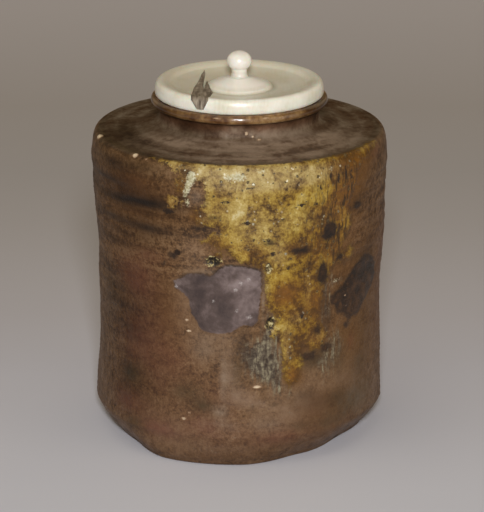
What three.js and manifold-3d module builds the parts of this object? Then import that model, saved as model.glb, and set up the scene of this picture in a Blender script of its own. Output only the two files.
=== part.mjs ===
// A small shouldered tea jar of ash-glazed stoneware with a turned lid.
// Units are millimetres, +Z is up, and the origin is the middle of the foot, on the surface it stands on.
// The front of the jar, where the ash glaze ran down, faces -Y.

import * as THREE from 'three';
import Module from 'manifold-3d';
import { mergeVertices } from 'three/addons/utils/BufferGeometryUtils.js';

// The pot: radii of the outside, and the heights that stack up from the foot to the lip
const FOOT_RADIUS = 27.6;
const FOOT_EDGE = 0.7;
const HEEL_RADIUS = 32;
const HEEL_HEIGHT = 6.4;
const WAIST_RADIUS = 31.3;
const WAIST_HEIGHT = 28;
const SHOULDER_RADIUS = 33;
const SHOULDER_HEIGHT = 62;
const SWELL_SHARE = 0.6;
const CREASE_INSET = 1.6;
const CREASE_RISE = 6.3;
const SHOULDER_RISE = 1.5;
const NECK_HEIGHT = 4;
const NECK_FLARE = 0.7;
const LIP_THICKNESS = 2;
const LIP_OVERHANG = 2.05;

// The pot's wall, from which the hollow is worked out
const MOUTH_RADIUS = 15.1;
const NECK_WALL = 2.3;
const WALL_THICKNESS = 3.4;
const SHOULDER_THICKNESS = 3.6;
const FLOOR_THICKNESS = 4.3;
const INNER_CORNER = 5;
const MOUTH_EDGE = 1.4;

// The lower wall was paddled into soft flats while the clay was leather-hard
const PADDLE_FLATS = 8;
const PADDLE_TURN = THREE.MathUtils.degToRad(-3);
const PADDLE_SHARE = 0.24;
const PADDLE_FADE_HEIGHT = 42;

// The foot is far from round: its reach at every 30 degrees from +X, as shares of the foot's radius
const FOOT_REACH_SHARES = [1, 0.99, 1, 1, 1, 1, 0.99, 1, 1.12, 1.11, 1, 0.93];

// The lid
const LID_SETBACK = 0.85;
const LID_THICKNESS = 3.2;
const RIM_WIDTH = 2.6;
const RECESS_DEPTH = 1.6;
const BOSS_RADIUS = 6.9;
const BOSS_EDGE_HEIGHT = 0.6;
const BOSS_RISE = 1.75;
const SPIGOT_CLEARANCE = 0.5;
const SPIGOT_DEPTH = 2.2;
const LINING_THICKNESS = 0.25;
const LINING_MARGIN = 0.3;

// The knob, pegged into the boss
const BALL_RADIUS = 2.75;
const BALL_HEIGHT = 4.5;
const KNOB_NECK_RADIUS = 1.5;
const KNOB_NECK_HEIGHT = 1.35;
const KNOB_FOOT_RADIUS = 2.15;
const PEG_RADIUS = 0.8;
const PEG_LENGTH = 2.6;
const PEG_CLEARANCE = 0.3;

// The dark sliver let into the lid
const INLAY_DEPTH = 0.75;
const INLAY_CLEARANCE = 0.3;
const POINT_SHARE = 0.3;

// The sliver's outline seen from above, in shares of the lid's radius, from its tip round by the left
const INLAY_OUTLINE_SHARES = [
  [-0.405, 0.62], [-0.43, 0.45], [-0.475, 0.34], [-0.505, 0.14], [-0.535, -0.15],
  [-0.552, -0.42], [-0.552, -0.77], [-0.51, -0.9], [-0.38, -0.95], [-0.35, -0.86],
  [-0.325, -0.52], [-0.31, -0.33], [-0.325, -0.24], [-0.36, -0.14], [-0.395, -0.02], [-0.375, 0.3],
];

// How finely the turned shapes are cut into faces
const JAR_SEGMENTS = 48;
const LID_SEGMENTS = 48;
const KNOB_SEGMENTS = 20;
const CURVE_STEPS = 4;

// Heights and radii that follow from the sizes above
const creaseHeight = SHOULDER_HEIGHT + CREASE_RISE;
const creaseRadius = SHOULDER_RADIUS - CREASE_INSET;
const neckFootHeight = creaseHeight + SHOULDER_RISE;
const lipUnderHeight = neckFootHeight + NECK_HEIGHT;
const lipTopHeight = lipUnderHeight + LIP_THICKNESS;
const neckRadius = MOUTH_RADIUS + NECK_WALL;
const lipRadius = neckRadius + LIP_OVERHANG;
const lidRadius = lipRadius - LID_SETBACK;
const lidBottom = lipTopHeight;
const lidCrest = lidBottom + LID_THICKNESS;
const recessHeight = lidCrest - RECESS_DEPTH;
const bossTop = recessHeight + BOSS_EDGE_HEIGHT + BOSS_RISE;
const spigotBottom = lidBottom - SPIGOT_DEPTH;

const wasm = await Module();
wasm.setup();

// Turns an outline of radius against height about the upright axis
function turn(path, segments) {
  const geometry = new THREE.LatheGeometry(path.getPoints(CURVE_STEPS), segments);
  geometry.rotateX(Math.PI / 2);
  geometry.deleteAttribute('normal');
  geometry.deleteAttribute('uv');
  return mergeVertices(geometry);
}

function toSolid(geometry) {
  const plain = geometry.clone();
  plain.deleteAttribute('normal');
  plain.deleteAttribute('uv');
  const merged = mergeVertices(plain);
  const triVerts = Uint32Array.from(merged.index.array);
  const vertProperties = Float32Array.from(merged.attributes.position.array);
  return new wasm.Manifold(new wasm.Mesh({ numProp: 3, vertProperties, triVerts }));
}

function toGeometry(solid) {
  const cut = solid.getMesh();
  const geometry = new THREE.BufferGeometry();
  geometry.setAttribute('position', new THREE.BufferAttribute(cut.vertProperties, cut.numProp));
  geometry.setIndex(new THREE.BufferAttribute(cut.triVerts, 1));
  return geometry;
}

function namedMesh(name, geometry, color, roughness) {
  const shaded = geometry.index ? geometry.toNonIndexed() : geometry;
  shaded.computeVertexNormals();
  const mesh = new THREE.Mesh(shaded, new THREE.MeshStandardMaterial({ color, roughness, metalness: 0 }));
  mesh.name = name;
  return mesh;
}

// The reach of the uneven foot in one direction, blended between the shares on either side of it
function footReach(angle) {
  const count = FOOT_REACH_SHARES.length;
  const place = THREE.MathUtils.euclideanModulo(angle / (2 * Math.PI), 1) * count;
  const before = Math.floor(place) % count;
  const after = (before + 1) % count;
  const blend = THREE.MathUtils.smoothstep(place - Math.floor(place), 0, 1);
  return THREE.MathUtils.lerp(FOOT_REACH_SHARES[before], FOOT_REACH_SHARES[after], blend);
}

// How far a regular polygon's side lies inside its own corner circle in one direction
function paddledReach(angle) {
  const side = 2 * Math.PI / PADDLE_FLATS;
  const along = THREE.MathUtils.euclideanModulo(angle - PADDLE_TURN, side) - side / 2;
  return Math.cos(side / 2) / Math.cos(along);
}

// Moves the turned wall to where paddling and cutting from the wheel left it
function handShape(geometry) {
  const position = geometry.attributes.position;
  for (let i = 0; i < position.count; i += 1) {
    const x = position.getX(i);
    const y = position.getY(i);
    const z = position.getZ(i);
    const angle = Math.atan2(y, x);
    const footWeight = 1 - THREE.MathUtils.smoothstep(z, 0, HEEL_HEIGHT);
    const risen = THREE.MathUtils.smoothstep(z, 0, HEEL_HEIGHT);
    const fading = 1 - THREE.MathUtils.smoothstep(z, WAIST_HEIGHT / 2, PADDLE_FADE_HEIGHT);
    const paddled = 1 + PADDLE_SHARE * risen * fading * (paddledReach(angle) - 1);
    const scale = THREE.MathUtils.lerp(1, footReach(angle), footWeight) * paddled;
    position.setXY(i, x * scale, y * scale);
  }
  return geometry;
}

// The outside runs up from the foot to the lip, and the inside back down to the floor
function jarOutline() {
  const path = new THREE.Path();
  const wallTop = creaseHeight - SHOULDER_THICKNESS;
  const innerHeel = HEEL_RADIUS - WALL_THICKNESS;
  const innerWaist = WAIST_RADIUS - WALL_THICKNESS;
  const innerShoulder = SHOULDER_RADIUS - WALL_THICKNESS;
  const bulge = (HEEL_RADIUS + FOOT_RADIUS) / 2 + FOOT_EDGE;
  const swellHeight = WAIST_HEIGHT + (SHOULDER_HEIGHT - WAIST_HEIGHT) * SWELL_SHARE;
  path.moveTo(0, 0);
  path.lineTo(FOOT_RADIUS - FOOT_EDGE, 0);
  path.lineTo(FOOT_RADIUS, FOOT_EDGE / 2);
  path.quadraticCurveTo(bulge, HEEL_HEIGHT / 2, HEEL_RADIUS, HEEL_HEIGHT);
  path.quadraticCurveTo(HEEL_RADIUS, WAIST_HEIGHT / 2, WAIST_RADIUS, WAIST_HEIGHT);
  path.quadraticCurveTo(WAIST_RADIUS, swellHeight, SHOULDER_RADIUS, SHOULDER_HEIGHT);
  path.quadraticCurveTo(SHOULDER_RADIUS, creaseHeight - FOOT_EDGE, creaseRadius, creaseHeight);
  path.lineTo((creaseRadius + neckRadius) / 2, creaseHeight + SHOULDER_RISE / 3);
  path.lineTo(neckRadius + NECK_FLARE, neckFootHeight);
  path.quadraticCurveTo(neckRadius - NECK_FLARE / 2, neckFootHeight + NECK_HEIGHT / 2,
    neckRadius + NECK_FLARE, lipUnderHeight);
  path.quadraticCurveTo(lipRadius, lipUnderHeight, lipRadius, lipUnderHeight + LIP_THICKNESS / 2);
  path.quadraticCurveTo(lipRadius, lipTopHeight, lipRadius - LIP_THICKNESS / 2, lipTopHeight);
  path.lineTo(MOUTH_RADIUS + MOUTH_EDGE, lipTopHeight);
  path.quadraticCurveTo(MOUTH_RADIUS, lipTopHeight, MOUTH_RADIUS, lipTopHeight - MOUTH_EDGE);
  path.lineTo(MOUTH_RADIUS, neckFootHeight);
  path.quadraticCurveTo(MOUTH_RADIUS, wallTop, MOUTH_RADIUS + INNER_CORNER, wallTop);
  path.lineTo(innerShoulder - INNER_CORNER, wallTop);
  path.quadraticCurveTo(innerShoulder, wallTop, innerShoulder, wallTop - INNER_CORNER);
  path.lineTo(innerWaist, WAIST_HEIGHT);
  path.lineTo(innerHeel, FLOOR_THICKNESS + INNER_CORNER);
  path.quadraticCurveTo(innerHeel, FLOOR_THICKNESS, innerHeel - INNER_CORNER, FLOOR_THICKNESS);
  path.lineTo(0, FLOOR_THICKNESS);
  return path;
}

// The rim is a bullnose, inside it the scooped ring falls to a groove round the domed boss
function lidOutline() {
  const path = new THREE.Path();
  const spigotRadius = MOUTH_RADIUS - SPIGOT_CLEARANCE;
  const rimMiddle = lidBottom + LID_THICKNESS / 2;
  const rimInner = lidRadius - RIM_WIDTH;
  const groove = BOSS_RADIUS + BOSS_EDGE_HEIGHT;
  const holeRadius = PEG_RADIUS + PEG_CLEARANCE;
  const domeFoot = recessHeight + BOSS_EDGE_HEIGHT;
  path.moveTo(0, spigotBottom);
  path.lineTo(spigotRadius, spigotBottom);
  path.lineTo(spigotRadius, lidBottom);
  path.lineTo(lidRadius - RIM_WIDTH / 2, lidBottom);
  path.quadraticCurveTo(lidRadius, lidBottom, lidRadius, rimMiddle);
  path.quadraticCurveTo(lidRadius, lidCrest, lidRadius - RIM_WIDTH / 2, lidCrest);
  path.quadraticCurveTo(rimInner, lidCrest, rimInner - RIM_WIDTH / 2, lidCrest - RECESS_DEPTH / 2);
  path.quadraticCurveTo((rimInner + groove) / 2, recessHeight, groove, recessHeight);
  path.lineTo(BOSS_RADIUS, domeFoot);
  path.quadraticCurveTo(BOSS_RADIUS * 2 / 3, bossTop - BOSS_RISE / 3, KNOB_FOOT_RADIUS, bossTop);
  path.lineTo(holeRadius, bossTop);
  path.lineTo(holeRadius, bossTop - PEG_LENGTH - PEG_CLEARANCE);
  path.lineTo(0, bossTop - PEG_LENGTH - PEG_CLEARANCE);
  return path;
}

function knobOutline() {
  const path = new THREE.Path();
  const neckTop = bossTop + KNOB_NECK_HEIGHT;
  const ballMiddle = neckTop + BALL_HEIGHT / 2;
  const start = Math.PI / 2 - Math.acos(KNOB_NECK_RADIUS / BALL_RADIUS);
  path.moveTo(0, bossTop - PEG_LENGTH);
  path.lineTo(PEG_RADIUS, bossTop - PEG_LENGTH);
  path.lineTo(PEG_RADIUS, bossTop);
  path.lineTo(KNOB_FOOT_RADIUS, bossTop);
  path.quadraticCurveTo(KNOB_NECK_RADIUS, bossTop + KNOB_NECK_HEIGHT / 2, KNOB_NECK_RADIUS,
    ballMiddle - BALL_HEIGHT / 2 * Math.cos(start));
  path.absellipse(0, ballMiddle, BALL_RADIUS, BALL_HEIGHT / 2, start - Math.PI / 2, Math.PI / 2, false);
  return path;
}

// Moves each side of an outline outwards by the same distance, with long points cut short
function grow(points, distance) {
  return points.map((point, i) => {
    const before = point.clone().sub(points.at(i - 1)).normalize();
    const after = points[(i + 1) % points.length].clone().sub(point).normalize();
    const outward = new THREE.Vector2(before.y + after.y, -before.x - after.x).normalize();
    const lean = outward.x * after.y - outward.y * after.x;
    return point.clone().addScaledVector(outward, distance / Math.max(lean, POINT_SHARE));
  });
}

// A straight-sided block over an outline, from a height up past the top of the lid
function block(points, bottom) {
  const depth = lidCrest + LID_THICKNESS - bottom;
  const geometry = new THREE.ExtrudeGeometry(new THREE.Shape(points), { depth, bevelEnabled: false });
  geometry.translate(0, 0, bottom);
  return toSolid(geometry);
}

const inlayPoints = INLAY_OUTLINE_SHARES.map(([x, y]) => new THREE.Vector2(x * lidRadius, y * lidRadius));
const pocketFloor = recessHeight - INLAY_DEPTH;
const turnedLid = toSolid(turn(lidOutline(), LID_SEGMENTS));
const pocket = block(grow(inlayPoints, INLAY_CLEARANCE), pocketFloor);
const sliver = block(inlayPoints, pocketFloor + INLAY_CLEARANCE);

const liningRadius = MOUTH_RADIUS - SPIGOT_CLEARANCE - LINING_MARGIN;
const lining = new THREE.CylinderGeometry(liningRadius, liningRadius, LINING_THICKNESS, LID_SEGMENTS);
lining.rotateX(Math.PI / 2);
lining.translate(0, 0, spigotBottom - LINING_THICKNESS / 2);

const jar = new THREE.Group();
jar.add(namedMesh('jar_body', handShape(turn(jarOutline(), JAR_SEGMENTS)), 0x6b4a34, 0.45));

const lid = new THREE.Group();
lid.add(namedMesh('lid_disc', toGeometry(turnedLid.subtract(pocket)), 0xe6dfcb, 0.3));
lid.add(namedMesh('lid_knob', turn(knobOutline(), KNOB_SEGMENTS), 0xf1ede2, 0.25));
lid.add(namedMesh('su_inlay', toGeometry(turnedLid.intersect(sliver)), 0x5d5344, 0.5));
lid.add(namedMesh('lid_lining', lining, 0xc9a24a, 0.35));
jar.add(lid);

export default jar;
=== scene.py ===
# A small shouldered tea jar of ash-glazed stoneware with a turned lid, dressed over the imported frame.
# Sizes are in millimetres and become metres where a mesh is made. +Z is up, and the front faces -Y.

import math

import bpy
import numpy as np
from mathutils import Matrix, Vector, noise


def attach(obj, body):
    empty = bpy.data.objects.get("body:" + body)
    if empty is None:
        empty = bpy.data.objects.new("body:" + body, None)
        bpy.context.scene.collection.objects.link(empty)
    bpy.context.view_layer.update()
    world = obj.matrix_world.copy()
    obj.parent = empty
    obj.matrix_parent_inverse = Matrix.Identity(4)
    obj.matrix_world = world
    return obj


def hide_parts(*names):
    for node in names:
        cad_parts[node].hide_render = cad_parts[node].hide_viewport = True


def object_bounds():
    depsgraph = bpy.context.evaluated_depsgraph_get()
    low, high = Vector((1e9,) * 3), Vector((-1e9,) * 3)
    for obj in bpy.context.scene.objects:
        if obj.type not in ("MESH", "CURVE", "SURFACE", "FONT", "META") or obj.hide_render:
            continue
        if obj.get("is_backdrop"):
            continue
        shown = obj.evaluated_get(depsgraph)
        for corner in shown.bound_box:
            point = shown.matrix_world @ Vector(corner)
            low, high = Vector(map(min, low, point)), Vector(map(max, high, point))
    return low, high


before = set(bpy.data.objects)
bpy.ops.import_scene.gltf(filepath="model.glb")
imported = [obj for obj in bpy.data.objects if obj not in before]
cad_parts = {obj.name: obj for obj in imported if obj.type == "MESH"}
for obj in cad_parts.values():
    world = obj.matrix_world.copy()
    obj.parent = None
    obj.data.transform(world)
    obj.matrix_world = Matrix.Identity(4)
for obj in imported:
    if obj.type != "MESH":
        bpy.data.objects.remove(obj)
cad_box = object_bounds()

# ---- The camera ----
# A long lens, 850 mm away and straight in front, looks down on the jar at 17.5 degrees.
# The small shift puts the jar where the photograph's framing has it.
CAMERA_ELEVATION = math.radians(17.5)
CAMERA_DISTANCE = 0.85
AIM_HEIGHT = 0.037
LENS = 268
SHIFT_ACROSS = 0.0053
SHIFT_UP = 0.0117

bpy.ops.object.camera_add(
    location=(0, -CAMERA_DISTANCE * math.cos(CAMERA_ELEVATION),
              AIM_HEIGHT + CAMERA_DISTANCE * math.sin(CAMERA_ELEVATION)),
    rotation=(math.pi / 2 - CAMERA_ELEVATION, 0, 0))
camera = bpy.context.object
camera.data.lens = LENS
camera.data.shift_x = SHIFT_ACROSS
camera.data.shift_y = SHIFT_UP
camera.data.clip_start = 0.01
bpy.context.scene.camera = camera

# ---- jar_body ----
# The pot is one piece of iron-rich stoneware: thrown, paddled flat on its lower wall and cut from the
# wheel with a thread. Falling wood ash melted on it in the kiln and ran down the front as a yellow glaze.
MM = 0.001
FOOT_RADIUS = 27.6
FOOT_EDGE = 0.7
HEEL_RADIUS = 32
HEEL_HEIGHT = 6.4
WAIST_RADIUS = 31.3
WAIST_HEIGHT = 28
SWELL_HEIGHT = 48.4
SHOULDER_RADIUS = 33
SHOULDER_HEIGHT = 62
CREASE_RADIUS = 31.4
CREASE_HEIGHT = 68.3
NECK_RADIUS = 17.4
NECK_FLARE = 0.7
NECK_FOOT = 69.8
LIP_UNDER = 73.8
LIP_TOP = 75.8
LIP_RADIUS = 19.45
LIP_ROUND = 1
MOUTH_RADIUS = 15.1
MOUTH_EDGE = 1.4
WALL = 3.4
CEILING = 64.7
FLOOR = 4.3
INNER_CORNER = 5

OUTSIDE_SPACING = 0.55
FOOT_SPACING = 0.85
INSIDE_SPACING = 2.2
TURNS = 384
MERGED = 1e-6


def outline(start, steps, spacing):
    """Points about spacing apart along straight lines to (r, z) and curves pulled by (r, z) to (r, z)."""
    points = [start]
    for step in steps:
        begin, end = points[-1], step[-2:]
        pull = step[:2] if len(step) == 4 else ((begin[0] + end[0]) / 2, (begin[1] + end[1]) / 2)
        count = max(1, math.ceil(math.dist(begin, end) / spacing))
        for i in range(1, count + 1):
            t = i / count
            points.append(tuple((1 - t) ** 2 * a + 2 * t * (1 - t) * b + t * t * c
                                for a, b, c in zip(begin, pull, end)))
    return points


def drawn(name, points):
    """Draws a line point by point from a plane merged to one point, and stays in edit mode."""
    bpy.ops.mesh.primitive_plane_add(size=MM, calc_uvs=False)
    piece = bpy.context.object
    piece.name = piece.data.name = name
    bpy.ops.object.mode_set(mode="EDIT")
    bpy.ops.mesh.merge(type="CENTER")
    bpy.ops.transform.translate(value=[c * MM for c in points[0]])
    for begin, end in zip(points, points[1:]):
        move = [(b - a) * MM for a, b in zip(begin, end)]
        bpy.ops.mesh.extrude_region_move(TRANSFORM_OT_translate={"value": move})
    return piece


def turned(name, points, around, along=None):
    """Draws half an outline and turns it about the upright axis, as on a wheel or lathe."""
    piece = drawn(name, [(r, 0, z) for r, z in points])
    bpy.ops.object.mode_set(mode="OBJECT")
    if along:
        piece.data.attributes.new("along", "FLOAT", "POINT").data.foreach_set("value", along)
    turn = piece.modifiers.new("turn", "SCREW")
    turn.steps = turn.render_steps = around
    turn.use_merge_vertices = True
    turn.merge_threshold = MERGED
    bpy.ops.object.modifier_apply(modifier="turn")
    bpy.ops.object.mode_set(mode="EDIT")
    bpy.ops.mesh.select_all(action="SELECT")
    bpy.ops.mesh.remove_doubles(threshold=MERGED)
    bpy.ops.mesh.normals_make_consistent(inside=False)
    bpy.ops.object.mode_set(mode="OBJECT")
    bpy.ops.object.shade_smooth()
    return piece


def read(mesh, layer, value, width):
    """One value of every vertex, as rows of numbers."""
    rows = np.empty(len(mesh.vertices) * width)
    layer.foreach_get(value, rows)
    return rows.reshape(-1, width) if width > 1 else rows


foot_points = outline((0, 0), [(FOOT_RADIUS - FOOT_EDGE, 0)], FOOT_SPACING)
outside_points = outline(foot_points[-1], [
    (FOOT_RADIUS, 0, FOOT_RADIUS, FOOT_EDGE),
    ((HEEL_RADIUS + FOOT_RADIUS) / 2 + FOOT_EDGE, HEEL_HEIGHT / 2, HEEL_RADIUS, HEEL_HEIGHT),
    (HEEL_RADIUS, WAIST_HEIGHT / 2, WAIST_RADIUS, WAIST_HEIGHT),
    (WAIST_RADIUS, SWELL_HEIGHT, SHOULDER_RADIUS, SHOULDER_HEIGHT),
    (SHOULDER_RADIUS, CREASE_HEIGHT - FOOT_EDGE, CREASE_RADIUS, CREASE_HEIGHT),
    ((CREASE_RADIUS + NECK_RADIUS) / 2, CREASE_HEIGHT + 0.5),
    (NECK_RADIUS + NECK_FLARE + 2, NECK_FOOT - 0.2),
    (NECK_RADIUS + NECK_FLARE / 2, NECK_FOOT, NECK_RADIUS + NECK_FLARE / 4, NECK_FOOT + 1.6),
    (NECK_RADIUS, NECK_FOOT + 2.8, NECK_RADIUS + NECK_FLARE, LIP_UNDER),
    (LIP_RADIUS, LIP_UNDER, LIP_RADIUS, LIP_UNDER + LIP_ROUND),
    (LIP_RADIUS, LIP_TOP, LIP_RADIUS - LIP_ROUND, LIP_TOP),
    (MOUTH_RADIUS + MOUTH_EDGE, LIP_TOP)], OUTSIDE_SPACING)
inside_points = outline(outside_points[-1], [
    (MOUTH_RADIUS, LIP_TOP, MOUTH_RADIUS, LIP_TOP - MOUTH_EDGE),
    (MOUTH_RADIUS, NECK_FOOT),
    (MOUTH_RADIUS, CEILING, MOUTH_RADIUS + INNER_CORNER, CEILING),
    (SHOULDER_RADIUS - WALL - INNER_CORNER, CEILING),
    (SHOULDER_RADIUS - WALL, CEILING, SHOULDER_RADIUS - WALL, CEILING - INNER_CORNER),
    (WAIST_RADIUS - WALL, WAIST_HEIGHT),
    (HEEL_RADIUS - WALL, FLOOR + INNER_CORNER),
    (HEEL_RADIUS - WALL, FLOOR, HEEL_RADIUS - WALL - INNER_CORNER, FLOOR),
    (0, FLOOR)], INSIDE_SPACING)

# Every point's place along the outline: below 0 under the foot, the height on the outer wall, on from the
# crease over shoulder, neck and lip by distance, and from 100 down the inside
INSIDE_FROM = 100
places_along = [r - FOOT_RADIUS for r, z in foot_points]
for begin, end in zip(outside_points, outside_points[1:]):
    past_crease = places_along[-1] >= CREASE_HEIGHT - 0.01
    places_along.append(places_along[-1] + math.dist(begin, end) if past_crease else end[1])
lip_end = places_along[-1]
up_the_outside = list(zip(places_along[len(foot_points) - 1:], outside_points))
neck_from = next(a for a, (r, z) in up_the_outside if z > NECK_FOOT + 0.4)
lip_from = next(a for a, (r, z) in up_the_outside if z > LIP_UNDER + 0.02)
for begin, end in zip(inside_points, inside_points[1:]):
    start = max(places_along[-1], INSIDE_FROM)
    places_along.append(start + math.dist(begin, end))

jar = turned("jar_body_shell", foot_points + outside_points[1:] + inside_points[1:], TURNS, places_along)

co = read(jar.data, jar.data.vertices, "co", 3) / MM
along = read(jar.data, jar.data.attributes["along"].data, "value", 1)
turn_angle = np.degrees(np.arctan2(co[:, 1], co[:, 0]))
height = co[:, 2].copy()
WALL_ARC = math.radians(1) * HEEL_RADIUS


def smooth(value, low, high):
    """0 below low, 1 above high, and an even S between them."""
    t = np.clip((value - low) / (high - low), 0, 1)
    return t * t * (3 - 2 * t)


def grain(places, size, octaves=3):
    """Smooth noise from about -1 to 1 over places in mm, with lumps of the given size."""
    return np.array([noise.fractal(p, 1.0, 2.0, octaves) for p in (places / size).tolist()])


def patch(corners):
    """How far in mm each point of the wall lies inside a patch's edge, from corners in degrees and mm."""
    across, up = turn_angle * WALL_ARC, along
    edge = np.full(len(across), np.inf)
    inside = np.zeros(len(across), bool)
    ring = [(a * WALL_ARC, v) for a, v in corners]
    for (x0, y0), (x1, y1) in zip(ring, ring[1:] + ring[:1]):
        t = ((across - x0) * (x1 - x0) + (up - y0) * (y1 - y0)) / ((x1 - x0) ** 2 + (y1 - y0) ** 2 + 1e-9)
        t = np.clip(t, 0, 1)
        edge = np.minimum(edge, np.hypot(across - x0 - t * (x1 - x0), up - y0 - t * (y1 - y0)))
        crosses = (y0 > up) != (y1 > up)
        inside ^= crosses & (across < x0 + (x1 - x0) * (up - y0) / ((y1 - y0) or 1e-9))
    return np.where(inside, edge, -edge)


def spots(places):
    """The same for round and oval spots, each an angle, a height, and half a width and height in mm."""
    nearest = np.full(len(along), -99.0)
    for angle, at, wide, tall in places:
        reach = np.hypot((turn_angle - angle) * WALL_ARC / wide, (along - at) / tall)
        nearest = np.maximum(nearest, (1 - reach) * min(wide, tall))
    return nearest


def clouds(places):
    """Soft areas that fade out, each an angle, a height, half a width and height in mm, and a strength."""
    total = np.zeros(len(along))
    for angle, at, wide, tall, strength in places:
        offset = (turn_angle - angle + 180) % 360 - 180
        reach = (offset * WALL_ARC / wide) ** 2 + ((along - at) / tall) ** 2
        total += strength * np.exp(-reach)
    return np.clip(total, -1, 1.5)


# Where the ash lay thick enough to melt: the run down the front and the rolled edge of the shoulder
ASH_RUN = [
    (-113, 68.6), (-110, 66.6), (-108.6, 64.9), (-103.4, 64.7), (-102.4, 62), (-102.6, 60.2), (-104.6, 59.2),
    (-107, 58.9), (-108, 57.2), (-106.6, 55.2), (-100.4, 54.9), (-96.5, 54.4), (-101.9, 53.3), (-103, 51.5),
    (-99.9, 50.3), (-95.5, 49.8), (-93.3, 48.3), (-89.5, 46.5), (-84, 45.9), (-80.4, 44.6), (-79.9, 40),
    (-79.4, 36.6), (-77.2, 35.3), (-75.6, 33.4), (-77.6, 31.6), (-77.8, 29.5), (-75.6, 28.6), (-74.4, 30),
    (-73.6, 28), (-72.8, 24.6), (-72.6, 20.4), (-70.4, 17.8), (-66.6, 18.4), (-63.6, 21.8), (-63.4, 26),
    (-63.6, 28.2), (-63.4, 26.2), (-60, 25.4), (-56, 25.3), (-53.6, 26.6), (-52.7, 28.6), (-54, 30.6), (-56.6, 32),
    (-55.9, 34.6), (-55, 37), (-53.4, 40), (-51, 42.2), (-48, 43.8), (-44, 43.4), (-40, 44.3), (-38.2, 46.2),
    (-40.5, 48), (-45, 46.4), (-45.2, 48.4), (-42.2, 50), (-40.5, 52), (-41.2, 54.4), (-43, 56.5), (-41.6, 59),
    (-39.6, 61), (-38.5, 63.5), (-36, 65.5), (-30, 66.4), (-26, 67.2), (-24, 68.7)]
ASH_BAND = [
    (-127, 68.4), (-120, 67.7), (-116, 66.9), (-112, 65.6), (-100, 64.6), (-80, 65.2), (-60, 65.2), (-46, 65.6),
    (-36, 66), (-28, 66.9), (-18, 68.1), (-24, 69), (-60, 68.8), (-100, 68.8), (-127, 69)]
ASH_ISLANDS = [
    (-112.4, 63.6, 1.1, 2.2), (-112.6, 60, 0.9, 0.6), (-116.4, 59.6, 1.4, 1.8), (-98.4, 48.6, 1.2, 0.8),
    (-104, 51.5, 0.8, 0.5), (-49, 45.4, 1.5, 0.8)]
BARE_CLAY = [
    (-109.2, 60.9), (-109.5, 62.5), (-108.3, 64.3), (-106.4, 64.9), (-104.2, 64.4), (-103.2, 62.6), (-103.4, 60.6),
    (-105, 59.6), (-107.4, 59.5)]
# Small white glints, raised a little: painted highlights on the glaze and the scar, and a few pale lines
GLINTS = [
    (-91.7, 40.6, 0.36, 0.32), (-89.2, 42.1, 0.4, 0.34), (-86.4, 43, 0.36, 0.3), (-91, 36, 0.36, 0.34),
    (-86.4, 34.4, 0.5, 0.36), (-100, 37.9, 0.32, 0.32), (-90.3, 66.1, 1.7, 0.75), (-94, 65.9, 0.9, 0.6),
    (-109.8, 60.2, 0.4, 0.8), (-115.4, 40.6, 0.5, 0.4), (-81.3, 67.2, 0.7, 0.3), (-53.2, 66.2, 0.6, 0.3),
    (-48.4, 40.2, 0.7, 0.25)]
PALE_DRIP = [
    (-109, 67), (-106.6, 66.8), (-106.2, 65), (-107.8, 64.3), (-108.9, 62.8), (-109.9, 61.2), (-111.2, 60.8),
    (-110.9, 62.6), (-110.2, 64.6), (-109.7, 66)]
# Where a piece of kiln shelf stuck to the wall and was knocked off, which left a smooth grey-purple scar
SCAR = [
    (-116.6, 41.5), (-114, 42.3), (-110.9, 43.5), (-105.1, 44), (-100.9, 43.4), (-99, 44.6), (-97, 45.6),
    (-94.3, 46.1), (-89.8, 45.9), (-83.4, 45.2), (-81.6, 44.4), (-81.3, 40.4), (-81.9, 36.9), (-82.8, 33.4),
    (-84.7, 32), (-87.9, 32.6), (-90.4, 31.9), (-93, 30.9), (-100, 30.5), (-105.1, 30.9), (-107.4, 33.3),
    (-109.6, 34.8), (-110, 37.6), (-112.1, 39), (-116, 40.1)]
DARK_STAIN = [
    (-51, 36.9), (-49.1, 38), (-45.7, 38.8), (-42.9, 39.9), (-39.5, 41.6), (-36, 43), (-30, 44), (-24, 43),
    (-20.5, 40.5), (-18.4, 37.7), (-21.6, 35.3), (-28, 33.4), (-32.1, 31.2), (-34.8, 30.3), (-40.8, 31),
    (-47.5, 32.7), (-50.3, 34.8)]
DARK_SPOTS = [
    (-52.6, 52, 2.3, 2.2), (-55.6, 42.4, 1.6, 2.6), (-65.5, 48.8, 2.6, 1.2), (-42, 29.2, 1.2, 0.8),
    (-39, 56.2, 1.8, 0.9), (-99, 57, 1.2, 0.5), (-105, 54.2, 1.7, 0.6), (-77.6, 51.1, 1.6, 0.5),
    (-46.9, 45.6, 1, 0.8), (-53, 25.5, 1.6, 1), (-116.3, 47.5, 1, 0.7), (-120.9, 45.2, 0.7, 0.5),
    (-78.6, 45.6, 0.7, 1.2), (-57.5, 30, 1.1, 1.2), (-61.5, 24.2, 2.2, 0.9)]
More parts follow.
